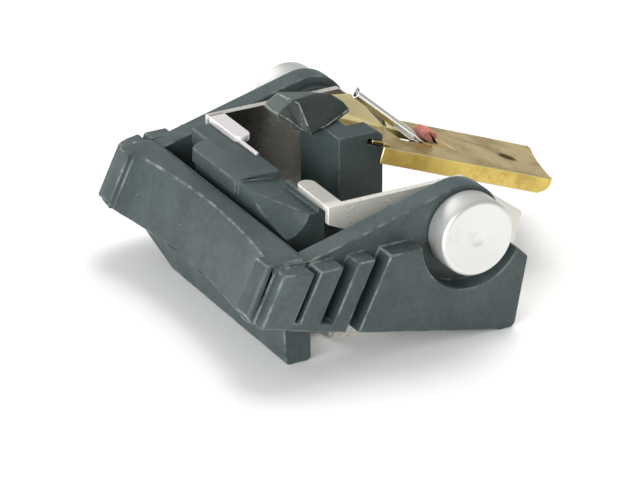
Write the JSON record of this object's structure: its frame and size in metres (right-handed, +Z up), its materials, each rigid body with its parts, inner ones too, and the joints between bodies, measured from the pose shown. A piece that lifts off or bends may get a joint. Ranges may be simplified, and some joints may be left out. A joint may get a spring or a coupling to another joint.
{
  "type": "turntable stylus assembly",
  "caption": "Turntable stylus in a ribbed black holder with a swing-down guard on two turned pivots, a brass channel shank and a tube cantilever with a diamond tip.",
  "frame": {"origin": "on the table under the middle of the part, which lies with its record side up as in the picture", "axes": "+X across the stylus to its near side, +Y from the finger grip to the brass shank, +Z up from the table"},
  "size_m": [0.0168, 0.019, 0.0085],
  "materials": {
    "black_plastic": "moulded black plastic with a soft slate sheen and worn edges",
    "black_moulding": "moulded black plastic",
    "saddle_plastic": "cut black plastic with pale worn ridges",
    "pin_aluminium": "turned satin aluminium",
    "washer_nylon": "dark nylon",
    "bracket_steel": "brushed bright sheet steel",
    "shank_brass": "rolled brass sheet, lightly tarnished",
    "sleeve_steel": "plated steel tube",
    "damper_rubber": "reddish rubber",
    "wire_steel": "bright steel",
    "magnet_metal": "dark sintered metal",
    "cantilever_aluminium": "drawn aluminium tube",
    "diamond": "ground diamond"
  },
  "bodies": {
    "holder": {"pivot_pin_near": "pin_aluminium", "pivot_pin_far": "pin_aluminium", "washer_near": "washer_nylon", "washer_far": "washer_nylon", "bracket": "bracket_steel", "crossbar": "black_moulding", "centre_block": "black_moulding", "saddle": "saddle_plastic", "brass_shank": "shank_brass", "tie_block": "sleeve_steel", "rubber_damper": "damper_rubber", "wire_collet": "shank_brass", "tie_wire": "wire_steel"},
    "guard": {"guard": "black_plastic"},
    "cantilever": {"cantilever": "cantilever_aluminium", "magnet": "magnet_metal", "tip_bush": "wire_steel", "diamond_tip": "diamond"}
  },
  "joints": [
    {"name": "guard_swing", "type": "hinge", "parent": "holder", "child": "guard", "pos_m": [0, 0.00042, 0.00468], "axis": [1, 0, 0], "range_deg": [-45, 10]},
    {"name": "cantilever_sway", "type": "hinge", "parent": "holder", "child": "cantilever", "pos_m": [0, 0.00266, 0.0052], "axis": [1, 0, 0], "range_deg": [-3, 3], "stiffness_Nm_per_rad": 0.0008}
  ]
}
